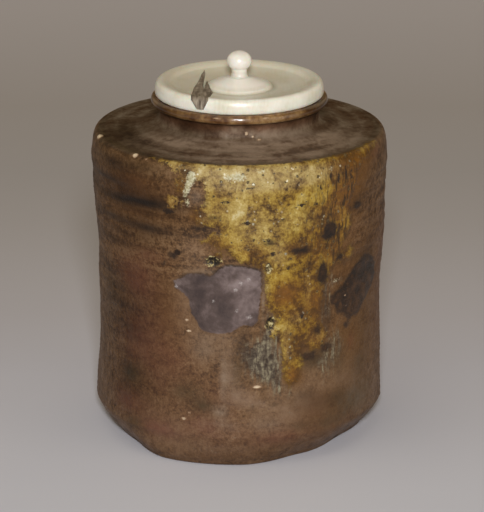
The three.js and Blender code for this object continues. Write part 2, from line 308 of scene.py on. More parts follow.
# The end of the run, where the glaze is thin, grey-green and streaked
GREEN_RUN = [
    (-79.6, 35.4), (-75, 34.9), (-74.7, 30), (-75.6, 28.6), (-73.2, 26.1), (-72.2, 22), (-72, 17.4), (-75, 16.6),
    (-77.9, 18.4), (-82.6, 19.4), (-86.4, 21.6), (-88.6, 24), (-88.4, 26.6), (-85.6, 28.2), (-82, 29.4),
    (-80, 32.5)]
GREEN_EDGES = [
    (-53.4, 36.6, 1.1, 5.4), (-50.6, 24.8, 1.2, 3.4), (-46.6, 25.6, 0.9, 2.6), (-54.4, 22.4, 0.8, 2.2),
    (-48.3, 39.9, 1.6, 0.35), (-68.4, 19.4, 0.5, 1.9)]
CRATERS = [(-100.2, 47, 1.9, 1.3), (-77.7, 32.7, 1.1, 1.7), (-78.4, 45.2, 0.7, 0.9)]
FLECKS = [
    (-87.2, 55.9, 0.9, 0.45), (-79.5, 51.8, 1.2, 0.35), (-77, 48.5, 0.7, 0.5), (-85.5, 64, 1, 0.35),
    (-66, 59.3, 0.9, 0.35), (-115, 48.2, 0.9, 0.7), (-78.8, 45.6, 0.5, 1), (-118, 57.4, 1.4, 0.6),
    (-73.5, 56.2, 0.8, 0.3), (-95, 60.6, 1, 0.3), (-58, 62.6, 0.4, 0.9), (-49.8, 63.8, 0.4, 1.3),
    (-46, 64.6, 0.35, 1.5), (-43, 63.8, 0.35, 1.4), (-53.5, 64.6, 0.3, 0.9), (-64.3, 33.6, 0.35, 0.9),
    (-70.6, 45.2, 0.6, 0.4), (-60, 59, 0.6, 0.4), (-99.6, 61.8, 0.5, 0.3), (-3.5, 75.3, 0.5, 0.4)]
# Gold specks, and among them painted highlights on the neck, the lip and the stain
GOLD_SPECKS_AND_GLINTS = [
    (-83, 18.5, 1.3, 0.5), (-104, 19.8, 0.5, 0.3), (-110.2, 11.9, 0.4, 0.4), (-112.6, 10.4, 0.8, 0.45),
    (-43, 36.2, 0.5, 0.3), (-85, 83.3, 0.9, 0.5), (-80.6, 82.5, 0.7, 0.4), (-76.5, 81.7, 1, 0.42),
    (-111.2, 33, 0.6, 0.5), (-110.4, 30.6, 0.8, 0.45), (-102.8, 23.3, 0.25, 0.25), (-97, 39.6, 0.3, 0.25),
    (-88.5, 42.6, 0.3, 0.25), (-91.2, 36, 0.3, 0.25), (-166, 68.3, 1.4, 0.7), (-134.8, 68.1, 0.9, 0.55),
    (-128.8, 67.9, 0.4, 0.3), (-111.4, 59.4, 0.6, 0.25), (-108.5, 59.2, 0.6, 0.25), (-42, 33.6, 0.4, 0.3),
    (-104.6, 87.9, 1.7, 0.36), (-73, 87.9, 2.2, 0.36), (-61, 87.7, 0.8, 0.34)]
TAN_CLAY = [
    (-96.6, 28), (-96.4, 13.6), (-90, 12.6), (-76, 11), (-60, 9.5), (-52, 9.5), (-48, 13), (-56, 18), (-66, 17.5),
    (-71, 16), (-76, 15.6), (-90, 20), (-91, 28)]

wander = grain(co, 6) * 0.9 + grain(co + 40, 2, 2) * 0.4
ash = np.maximum(np.maximum(patch(ASH_RUN), patch(ASH_BAND)), spots(ASH_ISLANDS))
bare = patch(BARE_CLAY)
ash = np.minimum(ash, -bare)
scar = patch(SCAR)
stain = np.maximum(patch(DARK_STAIN), spots(DARK_SPOTS))
green = np.maximum(patch(GREEN_RUN), spots(GREEN_EDGES))
pale_and_glints = np.maximum(patch(PALE_DRIP), spots(GLINTS))
crater = spots(CRATERS)
fleck = spots(FLECKS)
speck_and_glint = spots(GOLD_SPECKS_AND_GLINTS)

# Paddling and the thread moved the turned wall, by the same rule as the frame's
PADDLE_FLATS = 8
PADDLE_TURN = math.radians(-3)
PADDLE_SHARE = 0.24
PADDLE_FADE = 42
FOOT_REACH = [1, 0.99, 1, 1, 1, 1, 0.99, 1, 1.12, 1.11, 1, 0.93]
turn = np.radians(turn_angle)
step_place = (turn / (2 * math.pi) % 1) * len(FOOT_REACH)
step_before = np.floor(step_place).astype(int) % len(FOOT_REACH)
reach = np.array(FOOT_REACH)
step_blend = smooth(step_place - np.floor(step_place), 0, 1)
foot_reach = reach[step_before] * (1 - step_blend) + reach[(step_before + 1) % len(FOOT_REACH)] * step_blend
risen = smooth(height, 0, HEEL_HEIGHT)
fading = 1 - smooth(height, WAIST_HEIGHT / 2, PADDLE_FADE)
side = 2 * math.pi / PADDLE_FLATS
off_middle = (turn - PADDLE_TURN) % side - side / 2
paddled = 1 + PADDLE_SHARE * risen * fading * (math.cos(side / 2) / np.cos(off_middle) - 1)
co[:, :2] *= ((foot_reach * (1 - risen) + risen) * paddled)[:, None]

# Where hands pressed the soft wall in or out: an angle, a height, half a width in degrees, half a height
# in mm, and how far in mm
HAND_PUSHES = [(180, 65, 30, 3, -0.4), (180, 60, 30, 2.5, -0.4), (180, 43, 25, 5, -0.3), (180, 21, 28, 6, -0.45),
               (180, 5, 25, 4, 0.2), (0, 63, 30, 5, -0.35), (0, 46, 28, 8, 0.5), (0, 14, 28, 8, -0.35),
               (-30, 3, 24, 5, -0.7), (-60, 0, 20, 4, -0.6), (-150, 0, 20, 4, -0.3)]
push = np.zeros(len(co))
for angle, at, wide, tall, depth in HAND_PUSHES:
    off_angle = (turn_angle - angle + 180) % 360 - 180
    push += depth * np.exp(-(off_angle / wide) ** 2 - ((height - at) / tall) ** 2)
co[:, :2] *= (1 + push * (along < CREASE_HEIGHT + 2) / HEEL_RADIUS)[:, None]

# What fingers, ash and fire left on the surface, as a height along the normal
RING_PITCH = 3.4
FINE_PITCH = 1.3
NECK_ROLL = 80.2
ROLL_WIDTH = 1.4
wall = smooth(along, 2, 8) * (1 - smooth(along, 66, 68))
outer = smooth(along, 0.5, 3) * (1 - smooth(along, lip_end - 4, lip_end - 2))
upper = smooth(along, 22, 45) * (1 - smooth(along, 64, 67.5))
shoulder = smooth(along, 68.5, 70.5) * (1 - smooth(along, 80, 82))
inner = smooth(along, INSIDE_FROM + 3, INSIDE_FROM + 9)
ring_phase = (along / RING_PITCH + turn_angle / 360 + 0.5 * wander) * 2 * math.pi
relief = 0.10 * np.sin(ring_phase) * upper * (0.6 + 0.4 * np.sin(turn + 0.4))
relief += 0.035 * np.sin(along * 2 * math.pi / FINE_PITCH + wander) * wall
relief += 0.06 * np.sin(ring_phase * 1.6) * shoulder
relief += 0.2 * np.exp(-((along - NECK_ROLL) / ROLL_WIDTH) ** 2)
dimpled = smooth(along, 69, 71) * (1 - smooth(along, 85, 86))
relief += (0.05 * grain(co + 120, 2.5, 3) + 0.1 * grain(co + 140, 6, 2)) * dimpled
relief += 0.16 * np.sin(ring_phase * 0.8) * inner
relief += 0.16 * grain(co, 9, 2) * wall + 0.03 * grain(co, 1.6, 3) * outer
relief += 0.16 * smooth(ash + 0.5 * wander, -0.2, 1.2) * (1 - smooth(along, 68.3, 68.8))
relief += (0.07 * grain(co + 20, 1.3, 3) + 0.06 * grain(co + 60, 3.2, 2)) * smooth(ash, 0, 1)
relief += (0.20 + 0.05 * grain(co + 80, 3, 2)) * smooth(scar, -0.3, 0.8) + 0.08 * smooth(stain, -0.2, 0.6)
relief -= 0.5 * smooth(crater, -0.1, 0.8) * (0.6 + 0.6 * grain(co, 0.9, 2))
relief += 0.15 * (smooth(crater, -0.9, -0.2) - smooth(crater, -0.2, 0.2))
relief += 0.2 * smooth(pale_and_glints, -0.2, 0.5) + 0.22 * smooth(speck_and_glint, -0.1, 0.4)
relief -= 0.12 * smooth(bare, -0.1, 0.6) + 0.1 * smooth(fleck, -0.1, 0.3)

# The thread left a swirl of fine ridges under the foot, off the middle
THREAD_PITCH = 2.6
THREAD_MIDDLE = (5, -3)
under = (along < 0) & (height < 0.5)
swirl_x, swirl_y = co[:, 0] - THREAD_MIDDLE[0], co[:, 1] - THREAD_MIDDLE[1]
swirl = np.hypot(swirl_x, swirl_y) / THREAD_PITCH + np.arctan2(swirl_y, swirl_x) / (2 * math.pi)
groove = 0.2 * (0.5 + 0.5 * np.sin(swirl * 2 * math.pi)) * (1 - smooth(along, -2, -0.6))
co[under, 2] += groove[under]

normal = read(jar.data, jar.data.vertex_normals, "vector", 3)
co += normal * relief[:, None]
co[:, :2] = np.clip(co[:, :2], -SHOULDER_RADIUS, SHOULDER_RADIUS)
jar.data.vertices.foreach_set("co", (co * MM).ravel())
jar.data.update()

# Soft areas of colour that the fire left, which fade out
TAN = [
    (-95, 3, 26, 4, 0.3), (-118, 7, 9, 5, 0.22), (-70, 14, 7, 4, 0.5), (-47, 17, 8, 6, 0.55), (-113, 37, 3, 7, 0.6),
    (-97, 29, 4, 3, 0.4), (-108, 50, 4, 3, 0.35), (-105, 40, 3, 8, 0.3), (60, 20, 16, 9, 0.5),
    (150, 45, 9, 12, 0.35), (-68, 11.4, 3, 1.6, 0.4), (-82, 10.6, 2, 2.4, 0.3)]
BLACKENED = [
    (-58, 23.2, 2.6, 1.6, 0.4), (-55.6, 38.4, 1, 5, 0.8), (-52.4, 32.6, 1.2, 4, 0.7), (-141, 28.5, 5, 1, 0.5),
    (-136, 26.5, 4, 0.8, 0.5), (-159, 29, 3, 4, 0.3), (-88.3, 28, 1.6, 3.4, 0.75), (-86.6, 23.6, 1.4, 3, 0.5),
    (-84.6, 14, 0.7, 0.5, 0.5), (-76, 14, 0.8, 0.5, 0.5), (-123, 59, 9, 1.5, 0.7), (-132, 58.3, 8, 1.1, 0.6),
    (-124.5, 52.6, 6, 1.2, 0.8), (-147, 65.3, 6, 1.6, 0.8), (-150, 61.5, 8, 1, 0.7), (-148, 57.5, 9, 1.3, 0.7),
    (-150, 52.8, 10, 1.2, 0.8), (-152, 47.5, 9, 1.1, 0.7), (-145, 50, 7, 0.9, 0.5), (-103, 54.6, 2.6, 1, 0.8),
    (-142, 33, 6, 0.9, 0.4), (-38, 57, 3, 1.5, 0.6), (-30, 60, 4, 6, 0.2), (-26, 50, 4, 7, 0.2),
    (-36, 34, 3, 2, 0.5), (-30, 44, 5, 2.6, 0.5), (120, 55, 30, 5, 0.7), (40, 60, 20, 3, 0.6),
    (175, 60, 18, 4, 0.7), (-63, 15.6, 2.4, 1, 0.35)]
RED = [
    (-104, 3, 12, 3, 0.16), (-122, 8, 12, 5, 0.25), (-100, 15, 6, 7, 0.35), (-137, 40.6, 7, 5, 0.8),
    (-138, 26, 6, 8, 0.6), (-126, 32, 7, 9, 0.4), (-140.5, 11.6, 5, 3, 0.7), (-124.5, 6.9, 5, 2, 0.7),
    (-120, 22, 6, 8, 0.4), (-133, 63, 4, 2, 0.5), (-128, 46.5, 5, 1.5, 0.5), (-84, 7, 14, 3.4, 0.22),
    (-38.6, 25.3, 1.6, 1.6, 0.8), (-60, 8, 8, 4, 0.4), (-25, 66.8, 3, 1.6, 0.6), (10, 38, 20, 14, 0.5),
    (100, 25, 20, 10, 0.5), (-58, 12.6, 3.4, 2.4, 0.5), (-45, 8, 5, 1.8, 0.4), (-74, 6, 5, 1.6, 0.35),
    (-105, 9, 4, 2, 0.4)]
OLIVE = [
    (-58, 23.4, 4, 2.4, 0.8), (-130, 66.2, 9, 2, 0.5), (-138.8, 18.2, 3.4, 2.4, 1), (-111.8, 16.7, 3.5, 2, 0.7),
    (-104.6, 13.7, 3, 1.8, 0.8), (-136.6, 6.9, 3, 2, 0.7), (-152, 36, 5, 6, 0.5), (-36, 11.5, 7, 3.4, 0.9),
    (-52, 8, 6, 2.4, 0.6), (-28, 30, 5, 14, 0.35), (-160, 69.5, 4, 5, 0.5), (-47, 22, 3, 4, 0.5),
    (-91.5, 22, 1.6, 5, 0.5), (-33, 19, 3.4, 2.6, 0.5), (-48, 13.5, 2.2, 1.6, 0.5), (-66, 8.6, 3, 1.2, 0.4)]
# Pale dust on the wall, and a painted sheen on the front of the shoulder, the neck and a paddled ridge
DUST_AND_SHEEN = [
    (-138, 76.5, 10, 4, 0.7), (-38, 77, 9, 4, 0.6), (-112, 77.2, 12, 0.7, 0.8), (-66, 75.4, 10, 0.6, 0.8),
    (-92, 73, 16, 3.4, 1), (-60, 73.5, 14, 3.6, 0.9), (-90, 79.6, 14, 1.8, 1.1), (-125, 78.6, 11, 1.6, 0.7),
    (-55, 79.6, 14, 2.6, 1), (-20, 75, 14, 4, 0.6), (-98.1, 13, 1.6, 1.3, 1), (-96.2, 20, 0.9, 6.5, 0.65),
    (-98, 9.6, 4, 1.6, 0.4), (-104, 27, 3, 4, 0.4), (-30, 12, 8, 5, 0.3), (-76, 9.5, 4, 1.6, 0.4),
    (-80.6, 38.4, 0.35, 4, 0.8), (-100, 44.6, 5, 0.5, 0.5), (-106.4, 62, 1.4, 1.8, 0.55), (-92, 84, 3, 0.8, 1.2),
    (-82, 83.4, 2, 0.7, 1.2), (-102, 83.2, 2, 0.6, 0.8), (-66, 83, 4, 1, 0.5), (-106, 80.6, 10, 0.7, 1.2),
    (-76, 78.6, 9, 0.6, 1)]
# Lighter, creamier glaze, and on the scar a painted sheen on its right-hand part
CREAM_AND_SHEEN = [
    (-105.4, 57.2, 2.6, 1.6, 0.45), (-101, 51.8, 2.4, 1.2, 0.4), (-116.4, 60, 1.3, 1.2, 0.6),
    (-112.6, 60, 1, 0.7, 0.9), (-70, 56, 6, 3, 0.3), (-88, 36.5, 3.4, 4, 1), (-93, 41.5, 3, 2, 0.5),
    (-106, 38, 4, 6, -0.5), (-96, 65.8, 13, 2.4, 1), (-78, 65.8, 12, 2.4, 1), (-62, 65.8, 10, 1.8, 0.8),
    (-114, 67.6, 8, 1, 0.5), (-92, 59, 8, 4, 0.5), (-84, 53, 5, 4, 0.55), (-74.5, 48.5, 2.2, 3, 0.7),
    (-66, 33.5, 2, 1.4, 0.6), (-62, 40, 0.9, 4, 0.4), (-76.5, 31, 0.9, 1.5, 0.6), (-71, 29.5, 1.4, 3, 0.5),
    (-69.8, 25.4, 1, 1.6, 0.85), (-57.6, 28.4, 3, 1.3, 0.6), (-55, 56, 5, 2, 0.3)]
AMBER = [
    (-35, 25, 10, 12, 0.75), (-28, 46, 6, 12, 0.5), (-52, 12, 9, 4, 0.6), (-41, 40, 7, 5, 0.5),
    (-130, 60, 12, 8, 0.75), (-150, 52, 12, 14, 0.5), (-118, 36, 5, 10, 0.55), (-68, 37, 6, 6, 0.5),
    (-69, 21, 2.6, 3.4, 0.6), (-46, 58, 6, 7, 0.75), (-40, 66.5, 8, 2, 0.8), (-71.9, 39.2, 2.8, 2.8, 1.1),
    (-66, 49, 4, 1.8, 0.8), (-60, 27.4, 8, 3, 0.6), (-44, 60, 5, 5, 0.7), (-58, 57, 4, 3, 0.2),
    (-107, 57, 1.8, 2, 0.7), (-98, 50.6, 3.4, 2.4, 0.6), (-67.4, 19.8, 2, 1.8, 0.9), (-50, 47, 6, 5, 0.7),
    (-85, 49, 5, 2, 0.4), (-112.4, 63.4, 1.2, 2.2, 0.5), (-36, 64, 6, 4, 0.6), (-60, 52, 4, 2.4, 0.25),
    (-57.5, 36, 2.4, 5, 0.85)]
DRAINED = [(-45, 60, 9, 9, 1), (-52, 48, 7, 7, 0.7), (-62, 28, 8, 4, 0.4)]
DEEP = [
    (-90, 3, 24, 3, 0.58), (-139, 62, 8, 5, 0.7), (-134, 53, 9, 7, 0.65), (-141, 34, 9, 9, 0.75),
    (-140, 17, 9, 9, 0.7), (-121, 38, 4, 9, 0.2), (-57, 13.4, 7, 3, 0.7), (-41.6, 39, 6, 4, 0.4),
    (-120, 60, 5, 4, 0.4), (-168, 74, 12, 4, 0.7), (-140, 73, 10, 3, 0.4), (-10, 74, 10, 4, 0.35),
    (-90, 69.2, 60, 1, 1.2), (-150, 87, 16, 3, 1), (-26, 87, 16, 3, 1.1), (-150, 73, 16, 5, 0.4),
    (-128, 83.5, 7, 2, 0.9), (-112, 83.6, 4, 1.2, 0.6), (-50, 84, 7, 1.4, 0.7), (-95, 77.4, 12, 0.9, 0.5),
    (150, 40, 20, 16, 0.5), (50, 50, 20, 14, 0.4)]
STREAKED = [
    (-135, 52, 28, 16, 1.15), (-130, 63.5, 10, 4, 0.7), (-30, 55, 14, 14, 0.7), (-140, 25, 10, 12, 0.3),
    (120, 50, 60, 16, 0.8)]

# How far the attributes reach: a patch's distances matter only near its edge
FURTHEST = 8
layers = dict(
    ash_mm=ash, scar_mm=scar, stain_mm=stain, green_mm=green, pale_and_glints_mm=pale_and_glints, crater_mm=crater, fleck_mm=fleck,
    speck_and_glint_mm=speck_and_glint, tan=np.maximum(clouds(TAN), smooth(patch(TAN_CLAY) + wander, -0.4, 4)),
    blackened=clouds(BLACKENED), red=clouds(RED), olive=clouds(OLIVE), dust_and_sheen=clouds(DUST_AND_SHEEN), cream_and_sheen=clouds(CREAM_AND_SHEEN),
    amber=clouds(AMBER), drained=clouds(DRAINED), streaked=clouds(STREAKED), deep=clouds(DEEP))
for name, layer in layers.items():
    kept = jar.data.attributes.new(name, "FLOAT", "POINT").data
    kept.foreach_set("value", np.clip(layer, -FURTHEST, FURTHEST))


def linear(colour):
    """An sRGB hex colour as linear red, green, blue and alpha."""
    parts = [int(colour[i:i + 2], 16) / 255 for i in (1, 3, 5)]
    return [c / 12.92 if c <= 0.04045 else ((c + 0.055) / 1.055) ** 2.4 for c in parts] + [1]


def fill(filled, inputs):
    """Sets or links a node's inputs, by name or in order, to values, nodes or outputs."""
    sockets = [s for s in filled.inputs if s.enabled]
    for name, value in inputs.items() if isinstance(inputs, dict) else enumerate(inputs):
        socket = next(s for i, s in enumerate(sockets) if name in (i, s.name))
        if isinstance(value, bpy.types.Node):
            value = next(s for s in value.outputs if s.enabled)
        if isinstance(value, bpy.types.NodeSocket):
            filled.id_data.links.new(value, socket)
        else:
            socket.default_value = value


MODE_OF = {"Math": "operation", "VectorMath": "operation", "Mix": "data_type", "TexNoise": "noise_dimensions",
           "MapRange": "interpolation_type"}


def material(name):
    """A new material, what adds a node to it, its surface shader, and a point's place on the object."""
    made = bpy.data.materials.new(name)
    made.use_nodes = True
    nodes = made.node_tree.nodes

    def node(kind, inputs=(), stops=(), **settings):
        """Adds a node of a kind, or a kind and mode, with its inputs, a ramp's colour stops and settings."""
        kind, *mode = kind.split()
        added = nodes.new("ShaderNode" + kind)
        if mode:
            setattr(added, MODE_OF[kind], mode[0])
        for setting, value in settings.items():
            setattr(added, setting, value)
        fill(added, inputs)
        if stops:
            ramp = added.color_ramp.elements
            while len(ramp) < len(stops):
                ramp.new(0.5)
            for element, (position, colour) in zip(ramp, stops):
                element.position = position
                element.color = linear(colour)
        return added

    return made, node, nodes["Principled BSDF"], node("TexCoord").outputs["Object"]


# Iron-rich stoneware fired with wood: brown and grainy, with a satin skin where ash vapour touched it
stoneware, node, surface, place = material("wood_fired_stoneware")
per_mm = 1 / MM
grains = {}
for name, size, detail, twist, stretch in (
        ("fine", 0.45, 3, 0, (1, 1, 1)), ("grit", 0.9, 4, 0, (1, 1, 1)), ("mottle", 2.4, 6, 0.3, (1, 1, 1)),
        ("broad", 8, 4, 0.4, (1, 1, 1)), ("haze", 9, 1.5, 0.2, (1, 1, 1)), ("bands", 1.8, 6, 0.2, (0.1, 0.1, 1)),
        ("runs", 0.75, 4, 0.6, (1, 1, 0.2)), ("glaze", 5, 9, 0.5, (1, 1, 0.8))):
    stretched = node("Mapping", {"Vector": place, "Scale": stretch})
    grains[name] = node("TexNoise", {
        "Vector": stretched, "Scale": per_mm / size, "Detail": detail, "Roughness": 0.65, "Distortion": twist})
values = {name: node("Attribute", attribute_name=name).outputs["Fac"] for name in ("along", *layers)}

# The patches' edges are torn by noise: how far in mm, and over how many mm the edge fades
edges = {}
for name, torn_by, torn, low, high in (
        ("ash_mm", "grit", 4, -0.25, 0.4), ("scar_mm", "grit", 1.6, -0.2, 0.25),
        ("stain_mm", "mottle", 3.4, -0.4, 0.7), ("green_mm", "runs", 6, -1, 2), ("pale_and_glints_mm", "fine", 1.6, -0.2, 0.4),
        ("crater_mm", "grit", 1.8, -0.1, 0.3), ("fleck_mm", "fine", 1.2, -0.1, 0.15),
        ("speck_and_glint_mm", "fine", 0.4, -0.05, 0.2)):
    shifted = node("Math MULTIPLY_ADD", (grains[torn_by], torn, -torn / 2))
    torn_edge = node("Math ADD", (values[name], shifted))
    edges[name] = node("MapRange SMOOTHSTEP", (torn_edge, low, high))

# The fire drew level streaks along the throwing rings, and the wheel left fine rings on shoulder and neck
streaks = node("Math SUBTRACT", (grains["bands"], 0.5))
streaks = node("Math MULTIPLY_ADD", (grains["grit"], 0.7, streaks))
streaks = node("Math ADD", (streaks, -0.35))
streaks = node("Math MULTIPLY", (streaks, values["streaked"]))
ring_place = node("Math MULTIPLY_ADD", (grains["haze"], 2.5, values["along"]))
rings = node("TexNoise 1D", {"W": ring_place, "Scale": 0.35, "Detail": 3})

# How light each finish is from point to point: where it starts, and what is added by which weight
tones = {}
for name, tone, parts in (
        ("clay", -0.05, ((grains["mottle"], 0.4), (grains["grit"], 0.42), (grains["fine"], 0.2),
                         (grains["bands"], 0.08), (streaks, 0.8), (values["tan"], 0.09))),
        ("upper", -0.155, (
            (rings, 0.24), (grains["mottle"], 0.32), (grains["haze"], 0.52), (grains["grit"], 0.27))),
        ("ash", -0.305, ((grains["glaze"], 0.78), (grains["mottle"], 0.45), (grains["grit"], 0.38),
                         (grains["fine"], 0.1), (values["cream_and_sheen"], 0.045), (values["amber"], -0.16))),
        # on the scar the cream clouds paint a sheen
        ("scar", grains["broad"], ((values["cream_and_sheen"], 0.22), (grains["mottle"], 0.5))),
        ("strands", -0.05, ((grains["runs"], 0.8), (grains["grit"], 0.9), (values["blackened"], -0.2)))):
    for value, weight in parts:
        tone = node("Math MULTIPLY_ADD", (value, weight, tone))
    tones[name] = tone
scar_tone = node("Math SUBTRACT", (tones["scar"], 0.22))
stain_tone = node("MapRange", (values["along"], 34, 44, 0.05, -0.08))
stain_tone = node("Math ADD", (stain_tone, grains["mottle"]))

# Each finish from its darkest to its lightest: the clay in five depths of brown, the smoky shoulder, the
# redder neck, amber glaze on the lip, the ash from pooled amber to thin cream, and the small marks
finishes = {}
for name, tone, stops in (
        ("clay", tones["clay"], (
            (0.30, "#2b1c10"), (0.40, "#463220"), (0.5, "#64492f"), (0.6, "#765a3e"), (0.7, "#876b4e"))),
        ("shoulder", tones["upper"], (
            (0.32, "#27160a"), (0.42, "#422a17"), (0.5, "#52402f"), (0.58, "#6a5c4c"), (0.7, "#867b6d"))),
        ("neck", tones["upper"], (
            (0.38, "#342012"), (0.49, "#503522"), (0.58, "#6a4a35"), (0.66, "#7d5e49"), (0.78, "#a1846d"))),
        ("lip", tones["upper"], (
            (0.32, "#2e1808"), (0.42, "#4a2a10"), (0.49, "#684728"), (0.56, "#8c6b43"), (0.66, "#b09264"))),
        ("ash", tones["ash"], (
            (0.32, "#2a1c06"), (0.40, "#4f350a"), (0.46, "#755613"), (0.53, "#967621"), (0.6, "#ae9136"),
            (0.68, "#bfa658"), (0.8, "#d8cd9b"))),
        ("scar", scar_tone, ((0.35, "#3e3230"), (0.5, "#51433f"), (0.62, "#695a57"), (0.8, "#857674"))),
        ("stain", stain_tone, ((0.35, "#190d03"), (0.5, "#2e1b08"), (0.65, "#492f15"))),
        ("green", tones["strands"], ((0.62, "#3b3026"), (0.76, "#564b3e"), (0.86, "#6e6452"), (0.98, "#898169"))),
        ("pale_and_glints", grains["fine"], ((0.4, "#a0976f"), (0.55, "#bdb794"), (0.7, "#d2cdb6"))),
        ("crater", grains["grit"], ((0.45, "#19140e"), (0.53, "#40341e"), (0.59, "#9c8a58"), (0.68, "#cbc194")))):
    finishes[name] = node("ValToRGB", (tone,), stops)

# The fire turned the clay red, tan, amber, olive and black in places
colour = finishes["clay"]
for name, torn_by, paint, scale in (
        ("red", "broad", "#6b4132", 1.4), ("tan", "mottle", "#88715f", 1.2), ("amber", "mottle", "#6b4820", 1.5),
        ("olive", "mottle", "#3f3421", 1.5), ("blackened", "bands", "#291d13", 1.6)):
    share = node("Math MULTIPLY", (values[name], grains[torn_by]), use_clamp=True)
    share = node("Math MULTIPLY", (share, scale), use_clamp=True)
    colour = node("Mix RGBA", (share, colour, linear(paint)))

# Up the outline come the shoulder, the neck, a painted shadow line under the lip, the lip and the inside
zones = {}
for name, low, high, finish, share in (
        ("shoulder", CREASE_HEIGHT - 0.4, CREASE_HEIGHT + 0.5, finishes["shoulder"], 0.9),
        ("neck", neck_from, neck_from + 2, finishes["neck"], 0.9),
        ("shade", lip_from - 1.6, lip_from - 0.5, linear("#2a1a10"), 0.75),
        ("lip", lip_from - 0.1, lip_from + 0.5, finishes["lip"], 0.95),
        ("inside", INSIDE_FROM - 1, INSIDE_FROM, linear("#5a4436"), 0.8)):
    zones[name] = node("MapRange", (values["along"], low, high))
    zone = node("Math MULTIPLY", (zones[name], share))
    colour = node("Mix RGBA", (zone, colour, finish))
colour = node("Mix RGBA", (values["deep"], colour, linear("#a4957a")), blend_type="MULTIPLY")
# Pale dust, and a painted sheen on the front of the shoulder and neck, lighten the colour
dusted_and_sheen = node("MapRange", (tones["upper"], 0.4, 0.62, 0.2, 1.15))
dusted_and_sheen = node("Math MULTIPLY", (dusted_and_sheen, values["dust_and_sheen"]), use_clamp=True)
colour = node("Mix RGBA", (dusted_and_sheen, colour, linear("#857260")))

# The ash glaze turns rusty where iron bled into it, brown where it drained off the clay, and rust-brown
# where it ends thin
creamy = node("MapRange", (values["cream_and_sheen"], 0, 0.9, 1, 0.83))
ash_colour = node("HueSaturation", {"Saturation": creamy, "Value": 0.92, "Color": finishes["ash"]})
rusty = node("Math MULTIPLY", (values["amber"], grains["mottle"]), use_clamp=True)
drained = node("MapRange", (grains["runs"], 0.49, 0.6, 0, 1.1))
drained = node("Math MULTIPLY", (drained, values["drained"]), use_clamp=True)
thin = node("Math MULTIPLY_ADD", (grains["grit"], 3, values["ash_mm"]))
thin = node("MapRange", (thin, 1.5, 3.2, 0.85, 0))
thin = node("Math SUBTRACT", (thin, values["cream_and_sheen"]), use_clamp=True)

# Burst bubbles left small ragged dark pits, some in a paler ring, and small white sparkles are painted as
# highlights on the creamy glaze
BUBBLE_SPACING = 1.15
BUBBLE_TEAR = 0.7
nudge = node("VectorMath MULTIPLY_ADD", (grains["fine"].outputs["Color"], (BUBBLE_TEAR * MM,) * 3, place))
cells = node("TexVoronoi", {"Vector": nudge, "Scale": per_mm / BUBBLE_SPACING, "Randomness": 1})
chance = node("SeparateColor", (cells.outputs["Color"],))
pit_size = node("Math MULTIPLY_ADD", (chance.outputs["Red"], 0.42, -0.17))
pit_size = node("Math MULTIPLY_ADD", (values["cream_and_sheen"], 0.085, pit_size))
in_pit = node("Math SUBTRACT", (pit_size, cells.outputs["Distance"]))
pit_ring = node("MapRange", (in_pit, -0.12, 0, 0, 0.18))
pitted = node("MapRange", (in_pit, -0.03, 0.06, 0, 0.85))
sparkle_size = node("Math MULTIPLY_ADD", (chance.outputs["Green"], 0.6, -0.34))
in_sparkle = node("Math SUBTRACT", (sparkle_size, cells.outputs["Distance"]))
painted_sparkle = node("MapRange", (in_sparkle, -0.04, 0.06, 0, 0.8))
painted_sparkle = node("Math MULTIPLY", (painted_sparkle, values["cream_and_sheen"]), use_clamp=True)
for mask, paint in ((rusty, "#7f5214"), (drained, "#3a2609"), (thin, "#4a2f10"), (pit_ring, "#cdbd84"),
                    (pitted, "#38270f"), (painted_sparkle, "#e4dfc6")):
    ash_colour = node("Mix RGBA", (mask, ash_colour, linear(paint)))

# The stain is darkest round its edge, painted glints on the scar are whiter, and specks and glints have a painted
# highlight at the heart
stain_edge = node("MapRange", (values["stain_mm"], 0.1, 1, 0.8, 0))
# a light heart painted on specks and glints as a highlight
speck_and_glint_heart = node("MapRange", (values["speck_and_glint_mm"], 0.05, 0.35))
for name, mask, under, paint in (
        ("stain", stain_edge, finishes["stain"], "#1f1208"),
        ("pale_and_glints", edges["scar_mm"], finishes["pale_and_glints"], "#b3aba8"),
        ("speck_and_glint", speck_and_glint_heart, linear("#8c6a4c"), "#dac6a6")):
    finishes[name] = node("Mix RGBA", (mask, under, linear(paint)))

# A thin dark outline lies round the top of the scar, where the glaze broke away from it
near_scar = node("MapRange", (values["scar_mm"], -0.7, -0.05))
high_up = node("MapRange", (values["along"], 39, 45))
scar_outline = node("Math MULTIPLY", (near_scar, high_up))
for mask, finish in (
        (edges["green_mm"], finishes["green"]), (edges["ash_mm"], ash_colour), (scar_outline, linear("#33261c")),
        (edges["stain_mm"], finishes["stain"]), (edges["scar_mm"], finishes["scar"]),
        (edges["fleck_mm"], linear("#291c12")), (edges["pale_and_glints_mm"], finishes["pale_and_glints"]),
        (edges["crater_mm"], finishes["crater"]), (edges["speck_and_glint_mm"], finishes["speck_and_glint"])):
    colour = node("Mix RGBA", (mask, colour, finish))

